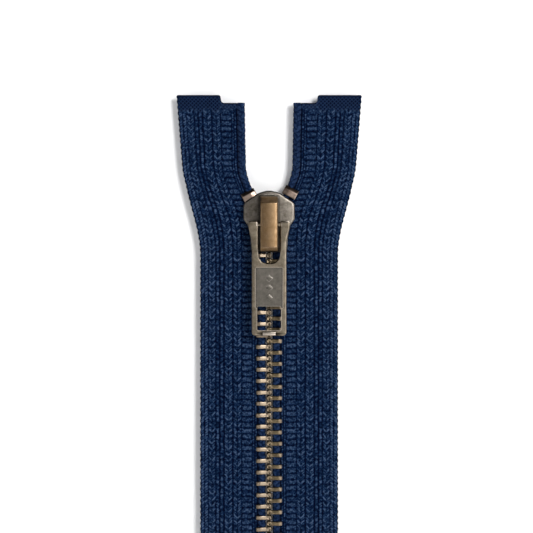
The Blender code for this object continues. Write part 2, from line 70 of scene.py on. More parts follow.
def high_mm(node):
    """The highest corner of a CAD node, in millimetres."""
    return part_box(node)[1] / MM


# Places read from the frame
TAPE_Y = (low_mm("right_upper_tape").y + high_mm("right_upper_tape").y) / 2
TAPE_TOP_Z = high_mm("right_tape_end").z
TAPE_INNER_EDGE = low_mm("right_upper_tape").x
TAPE_EDGE = high_mm("right_upper_tape").x
SLIDER_TOP_Z = high_mm("slider_body").z
SLIDER_TAIL_Z = low_mm("slider_body").z
SLIDER_BACK = high_mm("slider_body").y - TAPE_Y
COVER_LOW = low_mm("slider_cover")
COVER_HIGH = high_mm("slider_cover")
PULL_LOW = low_mm("pull_tab")
PULL_HIGH = high_mm("pull_tab")
PULL_Y = (PULL_LOW.y + PULL_HIGH.y) / 2
PULL_THICKNESS = PULL_HIGH.y - PULL_LOW.y
BOTTOM_STOP_LOW = low_mm("bottom_stop")
BOTTOM_STOP_HIGH = high_mm("bottom_stop")

# The chain and the way the two sides part
PITCH = 2.6
TEETH_PER_SIDE = 36
TOOTH_HEAD = 0.62
TOOTH_END = 2.97
TOOTH_THICKNESS = 2.5
FIRST_RIGHT_TOOTH_Z = 25.04
BEAD_RADIUS = 0.93
BEAD_CENTRE = 1.63
SPREAD_START_Z = 113.0
SPREAD_LENGTH = 14.6
SPREAD = 4.5
EDGE_SPREAD_START_Z = 106.9
EDGE_SPREAD_LENGTH = 21.0
EDGE_SPREAD = 3.8
FLARE_START_Z = 123.0
BEAD_FLARE = 0.35
EDGE_FLARE = 1.65
SLIDER_TRAVEL = 32 * PITCH

# Tape: the lower and the upper length of each tape meet at the seam
SEAM_Z = 80.0
TAPE_WIDTH = TAPE_EDGE - TAPE_INNER_EDGE
TAPE_TOP_STEP = 1.8
TAPE_STEP_FROM_EDGE = 3.42
TAPE_UNDER_CORD = 0.35
WEB_HALF_THICKNESS = 0.33
STRIP_HALF_THICKNESS = 0.28
WEB_WIDTH = 3.6
RELIEF_DEPTH = 0.2
FILM_HEIGHT = 3.9
STITCH = 1.3
LOOP = 1.2
GRID_ACROSS = 0.142
GRID_ALONG = 0.16
HATCH_PERIOD = 0.6

# Slider: heights across its thickness are measured from the tape's middle plane, to the front
SLIDER_FRONT = 2.55
CHANNEL_HALF_DEPTH = 1.45
CHANNEL_HALF_WIDTH = 3.2
TAPE_SLOT_HALF_DEPTH = 0.6
MOUTH_START = 5.2
MOUTH_FLARE = 0.5
DIAMOND_CLEARANCE = 0.13
PIVOT_Z = 114.0
TAIL_HALF_WIDTH = 4.05
SHOULDER_HALF_WIDTH = 5.8
PEDESTAL_HALF_WIDTH = 2.2
COVER_WALL = 0.5

# Stops and pull
TOP_STOP_HEIGHTS = {"left": 120.9, "right": 121.6}
TOP_STOP_HALF_WIDTH = 1.65
TOP_STOP_HALF_HEIGHT = 1.08
TOP_STOP_OUTWARD = 0.45
TOP_STOP_TURN = math.radians(28)
PULL_HALF_WIDTH = 3.93
PULL_BAR_RADIUS = 0.55
PULL_BAR_LENGTH = 5.6
EAR_HALF_WIDTH = 4.72
FORK_HALF_GAP = 2.48
FORK_BOTTOM_Z = 105.2
WINDOW_HALF_WIDTH = 2.72
WINDOW_LOW_Z = 89.95
WINDOW_HIGH_Z = 95.4
PANEL_HALF_WIDTH = 3.05
PANEL_HIGH_Z = 104.2
PANEL_DEPTH = 0.25
LOZENGE_HEIGHTS = (97.4, 99.6, 101.8)

# The picture: its width at the tape's plane, and the point in its middle
PICTURE_WIDTH = 121.7
PICTURE_MIDDLE_X = -0.6
PICTURE_MIDDLE_Z = 104.45

# Colours of the shade painted into the cloth's folds and hollows, of the fused end, and of the lines
# printed on it
SHADE_NAVY = (0.0, 0.0005, 0.004)
FUSED_NAVY = (0.0, 0.002, 0.013)
PRINT_NAVY = (0.007, 0.019, 0.052)

NOISE = np.random.default_rng(11).random(4096)


# Shape formulas


def smoothstep(t):
    """0 below t = 0, 1 above t = 1, and a smooth S between them."""
    t = np.clip(t, 0.0, 1.0)
    return t * t * (3 - 2 * t)


def ramp(z, start):
    """0 at start, rising evenly to 1 at the tape's top end."""
    return np.maximum(0.0, (z - start) / (TAPE_TOP_Z - start))


def spread(z):
    """How far a bead at height z lies outside its place in the closed chain."""
    parted = SPREAD * smoothstep((z - SPREAD_START_Z) / SPREAD_LENGTH)
    return parted + BEAD_FLARE * ramp(z, FLARE_START_Z)


def edge_spread(z):
    """How far the tape's outer edge at height z lies outside its place on the closed zipper."""
    parted = EDGE_SPREAD * smoothstep((z - EDGE_SPREAD_START_Z) / EDGE_SPREAD_LENGTH)
    return parted + EDGE_FLARE * ramp(z, FLARE_START_Z)


def ridge(t, squareness=2.0):
    """A rounded ridge: 1 at t = 0, and 0 from t = -1 and t = 1 outward."""
    return np.sqrt(np.clip(1 - np.abs(t) ** squareness, 0, 1))


def stitch_noise(column, row):
    """A fixed random value from 0 to 1 for each stitch of each column."""
    index = column * 613 + row.astype(int) * 37
    return NOISE[index % len(NOISE)]


def wander(z, seed):
    """A slow, small irregular drift along the tape, in millimetres."""
    return 0.05 * np.sin(z * 0.9 + seed) + 0.04 * np.sin(z * 2.3 + 2.1 * seed)


def tooth_height(side, index):
    """The middle height of one tooth. The left row sits half a pitch above the right row."""
    stagger = PITCH / 2 if side == LEFT else 0
    return FIRST_RIGHT_TOOTH_Z + stagger + PITCH * index


# Mesh helpers


def loose_object(name, data):
    """An object linked to the scene."""
    made = bpy.data.objects.new(name, data)
    bpy.context.scene.collection.objects.link(made)
    return made


def piece_from(name, mesh, surface, smooth_angle=None):
    """A finished piece in metres, from a mesh in millimetres."""
    mesh.transform(Matrix.Scale(MM, 4))
    mesh.materials.append(surface)
    mesh.shade_smooth()
    if smooth_angle is not None:
        mesh.set_sharp_from_angle(angle=math.radians(smooth_angle))
    return loose_object(name, mesh)


def mesh_from(name, points, faces):
    """A mesh from an array of points and a list of faces."""
    mesh = bpy.data.meshes.new(name)
    mesh.from_pydata(points, [], faces)
    return mesh


def add_attribute(mesh, name, values):
    """Stores one number or one vector for each point of the mesh."""
    kind, field = ("FLOAT", "value") if values.ndim == 1 else ("FLOAT_VECTOR", "vector")
    layer = mesh.attributes.new(name, kind, "POINT")
    layer.data.foreach_set(field, values.astype(np.float32).ravel())


def grid_faces(index):
    """One four-sided face for each cell of a grid of point numbers."""
    corners = [index[:-1, :-1], index[:-1, 1:], index[1:, 1:], index[1:, :-1]]
    return np.stack(corners, axis=-1).reshape(-1, 4)


def sheet_faces(rows, columns, flip):
    """Faces that close a front and a back grid of rows x columns points into one skin."""
    count = rows * columns
    index = np.arange(count).reshape(rows, columns)
    front = grid_faces(index)
    back = front[:, ::-1] + count
    rim = np.concatenate([index[0, :-1], index[:-1, -1], index[-1, :0:-1], index[:0:-1, 0]])
    after = np.roll(rim, -1)
    border = np.stack([after, rim, rim + count, after + count], axis=-1)
    faces = np.concatenate([front, back, border])
    return faces[:, ::-1] if flip else faces


def sheet_points(side, u, z, front, back):
    """Points of the front and the back grid, front and back being heights off the tape's plane."""
    face = np.stack([side * u, TAPE_Y - front, z], axis=-1).reshape(-1, 3)
    rear = np.stack([side * u, TAPE_Y + back, z], axis=-1).reshape(-1, 3)
    return np.concatenate([face, rear])


def rounded_outline(corners, steps=5):
    """A closed outline through corners (x, y, radius), each corner turned into an arc."""
    points = []
    for i, (x, y, radius) in enumerate(corners):
        here = Vector((x, y))
        before = (Vector(corners[i - 1][:2]) - here).normalized()
        after = (Vector(corners[(i + 1) % len(corners)][:2]) - here).normalized()
        half_angle = before.angle(after) / 2
        centre = here + (before + after).normalized() * (radius / math.sin(half_angle))
        reach = radius / math.tan(half_angle)
        start = here + before * reach - centre
        end = here + after * reach - centre
        sweep = math.atan2(start.cross(end), start.dot(end))
        for k in range(steps + 1):
            points.append(centre + Matrix.Rotation(sweep * k / steps, 2) @ start)
    return points


def mirrored_outline(right_half, steps=5):
    """A rounded outline that is the same on both sides, from its right half, bottom to top."""
    left_half = [(-x, y, radius) for x, y, radius in reversed(right_half)]
    return rounded_outline(right_half + left_half, steps)


def evaluated_mesh(source):
    """A new mesh: the source's, with its modifiers applied."""
    bpy.context.view_layer.update()
    graph = bpy.context.evaluated_depsgraph_get()
    return bpy.data.meshes.new_from_object(source.evaluated_get(graph))


def baked(source):
    """The object's evaluated mesh as a plain welded mesh object. The source is removed."""
    mesh = evaluated_mesh(source)
    mesh.transform(source.matrix_world)
    work = bmesh.new()
    work.from_mesh(mesh)
    bmesh.ops.remove_doubles(work, verts=work.verts, dist=1e-4)
    bmesh.ops.recalc_face_normals(work, faces=work.faces)
    work.to_mesh(mesh)
    work.free()
    name = source.name
    bpy.data.objects.remove(source)
    return loose_object(name, mesh)


def solid_from(name, work):
    """An object from a finished bmesh."""
    mesh = bpy.data.meshes.new(name)
    work.to_mesh(mesh)
    work.free()
    return loose_object(name, mesh)


def plate(name, outline, thickness, middle, plane="XZ"):
    """A flat outline as a solid plate. plane is XZ or YZ, and middle is the plate's middle along
    the axis across that plane."""
    curve = bpy.data.curves.new(name, "CURVE")
    curve.dimensions = "2D"
    curve.fill_mode = "BOTH"
    curve.extrude = thickness / 2
    spline = curve.splines.new("POLY")
    spline.points.add(len(outline) - 1)
    for point, (x, y) in zip(spline.points, outline):
        point.co = (x, y, 0, 1)
    spline.use_cyclic_u = True
    made = loose_object(name, curve)
    turn = 0 if plane == "XZ" else math.radians(90)
    made.rotation_euler = (math.radians(90), 0, turn)
    made.location = (0, middle, 0) if plane == "XZ" else (middle, 0, 0)
    return baked(made)


def block(name, low, high):
    """A rectangular cutter between two corners."""
    work = bmesh.new()
    bmesh.ops.create_cube(work, size=1)
    size = Vector(high) - Vector(low)
    bmesh.ops.scale(work, verts=work.verts, vec=size)
    bmesh.ops.translate(work, verts=work.verts, vec=Vector(low) + size / 2)
    return solid_from(name, work)


def rod(name, radius, centre, length):
    """A straight round rod along X."""
    work = bmesh.new()
    ends = {"radius1": radius, "radius2": radius}
    bmesh.ops.create_cone(work, cap_ends=True, segments=32, depth=length, **ends)
    bmesh.ops.rotate(work, verts=work.verts, matrix=Matrix.Rotation(math.radians(90), 3, "Y"))
    bmesh.ops.translate(work, verts=work.verts, vec=centre)
    return solid_from(name, work)


def bevelled(target, width, segments=4, clamp=True):
    """The target with its sharp edges rounded. Where an outline has short straights in its arcs,
    clamp has to be off, or they would hold the width down."""
    bevel = target.modifiers.new("edges", "BEVEL")
    bevel.use_clamp_overlap = clamp
    bevel.width = width
    bevel.segments = segments
    bevel.limit_method = "ANGLE"
    bevel.angle_limit = math.radians(60)
    return baked(target)


def combined(target, tool, operation):
    """The target with the tool cut from it (DIFFERENCE) or joined to it (UNION)."""
    boolean = target.modifiers.new("combine", "BOOLEAN")
    boolean.operation = operation
    boolean.solver = "EXACT"
    boolean.object = tool
    result = baked(target)
    bpy.data.objects.remove(tool)
    return result


def cut(target, tool):
    """The target with the tool cut from it."""
    return combined(target, tool, "DIFFERENCE")


def crown_front(solid, behind, drop, half_width):
    """Crowns the solid's front across its width: its sides drop back, and the depth at y = behind
    stays. The faces are cut into upright strips first, so that the crown is smooth."""
    work = bmesh.new()
    work.from_mesh(solid.data)
    strip = 0.4
    for x in np.arange(-half_width + strip, half_width, strip):
        everything = work.verts[:] + work.edges[:] + work.faces[:]
        bmesh.ops.bisect_plane(work, geom=everything, plane_co=(x, 0, 0), plane_no=(1, 0, 0))
    front = min(vert.co.y for vert in work.verts)
    for vert in work.verts:
        share = max(0.0, (behind - vert.co.y) / (behind - front))
        vert.co.y += share * drop * (vert.co.x / half_width) ** 2
    work.to_mesh(solid.data)
    work.free()


def metal_piece(solid, name, surface):
    """Turns a solid in millimetres into a finished metal piece. Its broad faces keep their own
    normals, so that they look flat beside the rounded edges."""
    mesh = solid.data
    bpy.data.objects.remove(solid)
    mesh.name = name
    piece = piece_from(name, mesh, surface, 32)
    weighted = piece.modifiers.new("broad_faces", "WEIGHTED_NORMAL")
    weighted.keep_sharp = True
    weighted.weight = 100
    piece.data = evaluated_mesh(piece)
    piece.modifiers.clear()
    return piece


# Materials


def new_material(name):
    """A node material, with its tree and its Principled shader."""
    made = bpy.data.materials.new(name)
    made.use_nodes = True
    return made, made.node_tree, made.node_tree.nodes["Principled BSDF"]


def set_inputs(tree, node, inputs):
    """Sets a node's inputs, found by name or number, each to a plain value or to a linked socket."""
    for key, value in inputs.items():
        if isinstance(value, bpy.types.NodeSocket):
            tree.links.new(value, node.inputs[key])
        else:
            node.inputs[key].default_value = value


def add_node(tree, kind, output, inputs=None, **settings):
    """The output, found by name or number, of a new node with these inputs and settings."""
    node = tree.nodes.new(kind)
    for key, value in settings.items():
        setattr(node, key, value)
    set_inputs(tree, node, inputs or {})
    return node.outputs[output]


def attribute(tree, name, output="Fac"):
    """The value that a piece's mesh attribute has at the shaded point, 0 where it has none."""
    return add_node(tree, "ShaderNodeAttribute", output, attribute_name=name)


def axis_of(tree, vector, axis):
    """One coordinate, X, Y or Z, of a vector socket."""
    return add_node(tree, "ShaderNodeSeparateXYZ", axis, {"Vector": vector})


def colour_ramp(tree, factor, stops):
    """A colour ramp through stops (position, colour), driven by the factor socket."""
    node = tree.nodes.new("ShaderNodeValToRGB")
    elements = node.color_ramp.elements
    while len(elements) < len(stops):
        elements.new(0.5)
    for element, (position, colour) in zip(elements, stops):
        element.position = position
        element.color = (*colour, 1)
    tree.links.new(factor, node.inputs["Fac"])
    return node.outputs["Color"]


def remap(tree, value, low, high, new_low, new_high):
    """The value socket mapped from low..high to new_low..new_high, clamped."""
    limits = {"From Min": low, "From Max": high, "To Min": new_low, "To Max": new_high}
    return add_node(tree, "ShaderNodeMapRange", "Result", {"Value": value, **limits})


def maths(tree, operation, first, second):
    """A Math node on two sockets or numbers."""
    return add_node(tree, "ShaderNodeMath", "Value", {0: first, 1: second}, operation=operation)


def product(tree, first, *others):
    """The product of several sockets."""
    for other in others:
        first = maths(tree, "MULTIPLY", first, other)
    return first


def mix_colour(tree, factor, first, second, blend="MIX"):
    """Mixes two colours. Each of the three inputs is a socket or a plain value."""
    inputs = {0: factor, 6: first, 7: second}
    for key, value in inputs.items():
        if isinstance(value, tuple):
            inputs[key] = (*value, 1)
    return add_node(tree, "ShaderNodeMix", 2, inputs, data_type="RGBA", blend_type=blend)


def noise(tree, vector, scale, detail, roughness):
    """A noise texture's value at this scale."""
    inputs = {"Vector": vector, "Scale": scale, "Detail": detail, "Roughness": roughness}
    return add_node(tree, "ShaderNodeTexNoise", "Fac", inputs)


def millimetre_coordinates(tree, scale=(1, 1, 1)):
    """The piece's own coordinates in millimetres, each axis times its scale."""
    place = add_node(tree, "ShaderNodeTexCoord", "Object")
    inputs = {"Vector": place, "Scale": tuple(s / MM for s in scale)}
    return add_node(tree, "ShaderNodeMapping", "Vector", inputs)


def bump(tree, height, strength, distance, normal=None):
    """A bump node's normal. distance is in millimetres."""
    inputs = {"Height": height, "Strength": strength, "Distance": distance * MM}
    if normal is not None:
        inputs["Normal"] = normal
    return add_node(tree, "ShaderNodeBump", "Normal", inputs)


def occlusion(tree, reach, **settings):
    """How open the surface is within reach, in millimetres. Inside the solid, 0 means a sharp
    outer edge. Outside it, 0 means a deep hollow."""
    inputs = {"Distance": reach * MM}
    return add_node(tree, "ShaderNodeAmbientOcclusion", "AO", inputs, samples=6, **settings)


def diamond_lines(tree, place, period):
    """Fine crossed diagonal lines, this far apart in the cloth's own coordinates."""
    waves = []
    for operation in ("ADD", "SUBTRACT"):
        diagonal = maths(tree, operation, axis_of(tree, place, "X"), axis_of(tree, place, "Y"))
        angle = maths(tree, "MULTIPLY", diagonal, 2 * math.pi / (period * math.sqrt(2)))
        waves.append(maths(tree, "COSINE", angle, 0.0))
    return remap(tree, maths(tree, "MAXIMUM", *waves), 0.3, 0.95, 0.0, 1.0)


def cloth_material(name, gap, shade, body, crest):
    """Woven navy yarn: shade painted into the gaps of the weave and highlight painted on its crests,
    with fine twisted filaments and clumps of stitches, a diamond print where the end is fused,
    and painted shade in hollows and next to nearby parts."""
    made, tree, shader = new_material(name)
    relief = attribute(tree, "relief")
    fused = attribute(tree, "film")
    place = attribute(tree, "cloth", "Vector")
    mottle = noise(tree, place, 0.9, 4.0, 0.6)
    fibre = noise(tree, place, 2.9, 4.0, 0.7)
    clumps = noise(tree, place, 1.6, 1.0, 0.5)
    yarn = maths(tree, "ADD", fibre, maths(tree, "MULTIPLY", clumps, 0.6))
    uneven = maths(tree, "MULTIPLY", maths(tree, "SUBTRACT", yarn, 0.77), 2.1)
    height = maths(tree, "ADD", relief, uneven)
    # Painted shade and highlight: the colour runs from near black in the weave's gaps to a lighter blue
    # on its crests
    colour = colour_ramp(tree, height, [(0.05, gap), (0.42, shade), (0.72, body), (1.0, crest)])
    printed = mix_colour(tree, diamond_lines(tree, place, HATCH_PERIOD), FUSED_NAVY, PRINT_NAVY)
    # Painted shade in the gaps of the fused end's print as well
    colour = mix_colour(tree, fused, colour, mix_colour(tree, relief, gap, printed))
    level = remap(tree, mottle, 0.3, 0.7, 0.8, 1.2)
    tint = add_node(tree, "ShaderNodeCombineColor", "Color", {0: level, 1: level, 2: level})
    colour = mix_colour(tree, 1.0, colour, tint, "MULTIPLY")
    # Painted shade: the cloth is darkened towards near black in deep hollows and where the teeth, the
    # slider and other parts lie close
    openness = occlusion(tree, 0.9, inside=False, only_local=False)
    colour = mix_colour(tree, remap(tree, openness, 0.8, 0.25, 0.0, 0.85), colour, SHADE_NAVY)
    inputs = {
        "Base Color": colour,
        "Roughness": remap(tree, fused, 0, 1, 0.9, 0.65),
        "Specular IOR Level": 0.03,
        "Sheen Weight": 0.01,
        "Sheen Roughness": 0.5,
        "Normal": bump(tree, fibre, 0.5, 0.06),
    }
    set_inputs(tree, shader, inputs)
    return made


def wear_and_highlight_mask(tree, pits, edge_reach, lower_wear_and_highlight, facing):
    """How bright the edges are: worn bright on sharp edges, with painted highlight by their facing:
    less on edges that face up, down or left, and wherever the piece's mesh carries painted highlight."""
    sharpness = remap(tree, occlusion(tree, edge_reach, inside=True, only_local=True), 0.93, 0.62, 0, 1)
    # Painted light: the edge brightening is cut on edges that face up, down or left, as the lamps from
    # the right and the dark room above would leave them
    up_share = remap(tree, axis_of(tree, facing, "Z"), 0.1, 0.6, 1.0, 0.2)
    down_share = remap(tree, axis_of(tree, facing, "Z"), -0.6, -0.1, lower_wear_and_highlight, 1.0)
    left_share = remap(tree, axis_of(tree, facing, "X"), -0.6, -0.1, 0.3, 1.0)
    grain = remap(tree, pits, 0.3, 0.6, 0.5, 1.0)
    upright_share = maths(tree, "MINIMUM", up_share, down_share)
    wear_and_highlight = product(tree, sharpness, grain, upright_share, left_share)
    return maths(tree, "MAXIMUM", wear_and_highlight, attribute(tree, "painted_highlight"))


def painted_shade_mask(tree, upper_painted_shade, facing):
    """How much painted shade darkens the finish: in hollows, on faces that look up, and wherever
    the piece's mesh carries painted shade."""
    # Painted shade: hollows, faces that look up and marked places are darkened towards near black
    openness = occlusion(tree, 0.8, inside=False, only_local=True)
    hollow = remap(tree, openness, 0.85, 0.3, 0.0, 0.95)
    shade_amount = maths(tree, "MAXIMUM", hollow, attribute(tree, "painted_shade"))
    upper = remap(tree, axis_of(tree, facing, "Z"), 0.15, 0.5, 0.0, upper_painted_shade)
    return maths(tree, "MAXIMUM", shade_amount, upper)


def metal_material(
    name, patina, body, rubbed_and_highlight, roughness, edge_reach=0.22, lower_wear_and_highlight=1.0, upper_painted_shade=0.85
):
    """Antique-finished metal: a dark patina in blotches and streaks, a satin body with fine grain, and
    edges worn bright within edge_reach, with painted highlight by the way they face, and painted
    shade in hollows and on faces that look up. lower_wear_and_highlight is the share of that edge
    brightening on edges that face down, and upper_painted_shade is how dark the painted shade on edges
    that face up is."""
    made, tree, shader = new_material(name)
    place = millimetre_coordinates(tree)
    streaks = noise(tree, millimetre_coordinates(tree, (1, 1, 0.08)), 7.0, 4.0, 0.65)
    blotches = noise(tree, place, 0.8, 4.0, 0.6)
    pits = noise(tree, place, 6.0, 3.0, 0.6)
    facing = add_node(tree, "ShaderNodeTexCoord", "Normal")
    wear_and_highlight = wear_and_highlight_mask(tree, pits, edge_reach, lower_wear_and_highlight, facing)

    colour = mix_colour(tree, remap(tree, blotches, 0.3, 0.7, 0.0, 1.0), patina, body)
    colour = mix_colour(tree, remap(tree, streaks, 0.3, 0.7, 0.0, 0.35), colour, patina)
    # Edges worn bright, together with the painted highlight from the edges' facing and from the teeth's
    # marks
    colour = mix_colour(tree, wear_and_highlight, colour, rubbed_and_highlight)
    # The near-black colour of the painted shade
    painted_shade = tuple(0.2 * channel for channel in patina)
    inputs = {
        "Base Color": mix_colour(tree, painted_shade_mask(tree, upper_painted_shade, facing), colour, painted_shade),
        "Metallic": 1.0,
        "Roughness": remap(tree, blotches, 0.3, 0.7, roughness + 0.08, roughness - 0.05),
        "Normal": bump(tree, pits, 0.3, 0.03, bump(tree, streaks, 0.25, 0.02)),
    }
    set_inputs(tree, shader, inputs)
    return made


# Tapes and cords


def stitch_row(turn):
    """The row number at this count of stitches, and the place within that row, from -1 to 1."""
    row = np.floor(turn)
    return row, 2 * (turn - row) - 1


def knit(across, z, column):
    """A column of slanted stitches that meet in a V. across runs from -1 to 1."""
    row, along = stitch_row((z + wander(z, column) - 0.85 * np.abs(across)) / (STITCH / 2))
    arm = 2 * column + (across > 0)
    strength = np.where(row % 2 == 0, 1.0, 0.62) * (0.6 + 0.52 * stitch_noise(arm, row))
    return ridge(along, 2.4) * ridge(2 * np.abs(across) - 1, 3.0) * strength


def ribs(across, z, column, length):
    """A column of upright stitches, one above another."""
    row, along = stitch_row((z + wander(z, column)) / length + 0.5 * (column % 2))
    strength = 0.45 + 0.5 * stitch_noise(column, row)
    return ridge(along, 2.4) * ridge(across * 1.2, 2.0) * strength


def ladder(across, z, column):
    """Level bars of fine upright threads, with a dark gap between one bar and the next."""
    row, along = stitch_row((z + 0.5 * wander(z, column)) / STITCH)
    threads = 0.72 + 0.28 * np.cos(across * 23 + 5 * stitch_noise(column, row))
    strength = 0.75 + 0.3 * stitch_noise(column + 40, row)
    return ridge(along / 0.9, 2.6) * threads * ridge(across, 9) * strength


def slanted(across, z, column):
    """A column of loops that all lean the same way, as on the selvage."""
    row, along = stitch_row((z + wander(z, column) + 0.3 * across) / (STITCH / 2))
    strength = 0.6 + 0.5 * stitch_noise(column, row)
    return ridge(along, 2.0) * ridge(across, 3.0) * strength


# Each column of the tape: its kind, the place of its middle from the inner edge, and its width
COLUMNS = (
    ("ribs", 0.35, 0.5),
    ("ribs", 0.9, 0.52),
    ("ladder", 2.42, 2.42),
    ("knit", 4.62, 1.86),
    ("knit", 6.68, 1.86),
    ("ribs", 8.2, 0.86),
    ("ribs", 9.14, 0.86),
    ("knit", 10.48, 1.62),
    ("slanted", 11.75, 0.8),
    ("slanted", 12.6, 0.8),
)


def tape_relief(s, z):
    """The height of the weave from 0 in its gaps to 1 on its crests. s runs across the tape."""
    relief = np.zeros_like(s)
    for column, (kind, middle, width) in enumerate(COLUMNS):
        across = 2 * (s + 0.35 * wander(z, 3.0) - middle) / width
        if kind == "ribs":
            shape = ribs(across, z, column, STITCH if width > 0.6 else STITCH / 2)
        else:
            shape = {"knit": knit, "ladder": ladder, "slanted": slanted}[kind](across, z, column)
        relief = np.where(np.abs(across) < 1, shape, relief)
    return relief


def hatch(s, z):
    """The fine diamond print that the heated tool leaves on a tape's fused end."""
    waves = [np.cos(2 * np.pi * t / HATCH_PERIOD / math.sqrt(2)) for t in (s + z, s - z)]
    return 0.5 + 0.5 * np.maximum(*waves)


def arc_drop(distance, radius):
    """How far a rounded corner has dropped at this distance from its side, 0 beyond the radius."""
    inset = radius - np.clip(distance, 0, radius)
    return radius - np.sqrt(radius**2 - inset**2)


def tape_top(s):
    """The height of the tape's cut end: a step down beside the bead, with rounded corners."""
    before = TAPE_STEP_FROM_EDGE - s
    step = np.where(before > 0, TAPE_TOP_STEP - arc_drop(before, 0.7), arc_drop(-before, 0.6))
    inner = arc_drop(s + TAPE_UNDER_CORD, 0.4)
    outer = arc_drop(TAPE_WIDTH - s, 0.4)
    return TAPE_TOP_Z - step - inner - outer


def fused_share(s, z, end_distance, upper):
    """How far the cloth is fused into a film: the whole top end except beside the bead, and a
    narrow rim along every cut."""
    rim = smoothstep((0.55 - end_distance) / 0.3)
    if not upper:
        return rim
    edge = FILM_HEIGHT + 0.35 * np.sin(1.7 * s) + 0.2 * np.sin(4.1 * s)
    end = smoothstep((edge - (TAPE_TOP_Z - z)) / 0.9) * smoothstep((s - 3.4) / 0.5)
    return np.maximum(np.maximum(end, 0.75 * smoothstep((1.7 - end_distance) / 0.5)), rim)


def tape_length(name, side, upper, surface):
    """A length of woven tape, with its weave modelled on the front and on the back."""
    columns = round((TAPE_WIDTH + TAPE_UNDER_CORD) / GRID_ACROSS) + 1
    rows = round((TAPE_TOP_Z - SEAM_Z if upper else SEAM_Z) / GRID_ALONG) + 1
    across = np.linspace(-TAPE_UNDER_CORD, TAPE_WIDTH, columns)
    s, t = np.meshgrid(across, np.linspace(0, 1, rows))
    z = SEAM_Z + t * (tape_top(s) - SEAM_Z) if upper else t * SEAM_Z
    inner = TAPE_INNER_EDGE + spread(z)
    loops = 0.07 * np.sin(2 * np.pi * z / STITCH) * (s > 0.98 * TAPE_WIDTH)
    outer = TAPE_EDGE - 0.1 + edge_spread(z) + loops
    u = inner + (outer - inner) * s / TAPE_WIDTH
    end_distance = tape_top(s) - z if upper else z
    film = fused_share(s, z, end_distance, upper)

    web_extra = WEB_HALF_THICKNESS - STRIP_HALF_THICKNESS
    half = STRIP_HALF_THICKNESS + web_extra * smoothstep((WEB_WIDTH - s) / 0.2)
    from_edge = np.minimum(s + TAPE_UNDER_CORD, TAPE_WIDTH - s)
    edge = 0.35 + 0.65 * ridge(1 - np.clip(from_edge / 0.3, 0, 1))
    edge = edge * (0.4 + 0.6 * ridge(1 - np.clip(end_distance / 0.3, 0, 1)))
    unburnt = smoothstep((end_distance - 0.1) / 0.35)
    heights = []
    reliefs = []
    for shift in (0.0, 0.37):
        weave = tape_relief(s, z + shift)
        weave = weave * (1 - film) + film * unburnt * (0.7 + 0.3 * hatch(s, z))
        heights.append((half + RELIEF_DEPTH * (weave * (1 - 0.55 * film) - 0.5)) * edge)
        reliefs.append(weave.ravel())
    faces = sheet_faces(rows, columns, side == LEFT)
    mesh = mesh_from(name, sheet_points(side, u, z, *heights), faces)
    cloth = np.stack([s, z, np.zeros_like(s)], axis=-1).reshape(-1, 3)
    add_attribute(mesh, "relief", np.concatenate(reliefs))
    add_attribute(mesh, "film", np.tile(film.ravel(), 2))
    add_attribute(mesh, "cloth", np.concatenate([cloth, cloth + np.array([0, 0, 9.0])]))
    return piece_from(name, mesh, surface)


def cord_length(name, side, low, high, surface):
    """A length of the corded edge: a core wrapped in two staggered columns of slanted loops."""
    around = 28
    rows = round((high - low) / GRID_ALONG) + 1
    angle, z = np.meshgrid(np.arange(around) * 2 * np.pi / around, np.linspace(low, high, rows))
    across = np.cos(angle)
    outer = across > 0
    row, along = stitch_row((z + 1.5 * wander(z, 8) - 0.55 * np.abs(across)) / LOOP + 0.5 * outer)
    loop = ridge(along, 2.6) * (0.3 + 0.7 * ridge(1.3 * np.abs(across) - 0.8, 2.5))
    relief = loop * (0.8 + 0.4 * stitch_noise(90 + outer, row))
    radius = BEAD_RADIUS - 0.17 * (1 - relief)
    u = BEAD_CENTRE + spread(z) + radius * np.cos(angle)
    y = TAPE_Y - radius * np.sin(angle)
    points = np.stack([side * u, y, z], axis=-1).reshape(-1, 3)
    index = np.arange(rows * around).reshape(rows, around)
    ahead = np.roll(index, -1, axis=1)
    faces = np.stack([index[:-1], index[1:], ahead[1:], ahead[:-1]], axis=-1).reshape(-1, 4)
    faces = faces.tolist() + [index[0].tolist(), index[-1][::-1].tolist()]
    if side == LEFT:
        faces = [face[::-1] for face in faces]
    mesh = mesh_from(name, points, faces)
    add_attribute(mesh, "relief", relief.ravel())
    cloth = np.stack([angle * BEAD_RADIUS, z, np.full_like(z, 20.0)], axis=-1)
    add_attribute(mesh, "cloth", cloth.reshape(-1, 3))
    return piece_from(name, mesh, surface)


# Teeth and stops


def tooth_half_height(u):
    """Half the tooth's height at u: a blunt round head, then a leg of even height with a nipped
    end."""
    head = 0.635 * ridge(u / 0.64, 4.5)
    leg = 0.46 * ridge(np.clip((u - 2.7) / 0.35, 0, 1), 2.5) + 0.02
    leg = leg * smoothstep((u - 0.2) / 0.2)
    return np.maximum(np.maximum(head, leg), 0.1)


def tooth_half_thickness(u):
    """Half the tooth's thickness at u: proudest over the bead, pinched onto the tape beyond it."""
    over_bead = TOOTH_THICKNESS / 2 - 0.27 * smoothstep((2.15 - u) / 1.6)
    return over_bead - 0.36 * smoothstep((u - 2.3) / 0.7)


def rounded_face(thickness, distance, radius):
    """The height of a face whose rim is rounded, at this distance from the rim."""
    inset = radius - np.clip(distance, 0, radius)
    return thickness - radius + np.sqrt(radius**2 - inset**2)


# The grid of one tooth, from its head to the ends of its legs
TOOTH_ROWS = 13
TOOTH_COLUMNS = np.concatenate(
    [np.linspace(-TOOTH_HEAD, 0.7, 15), np.linspace(0.85, 2.45, 9), [2.6, 2.72, 2.82, 2.9, TOOTH_END]]
)


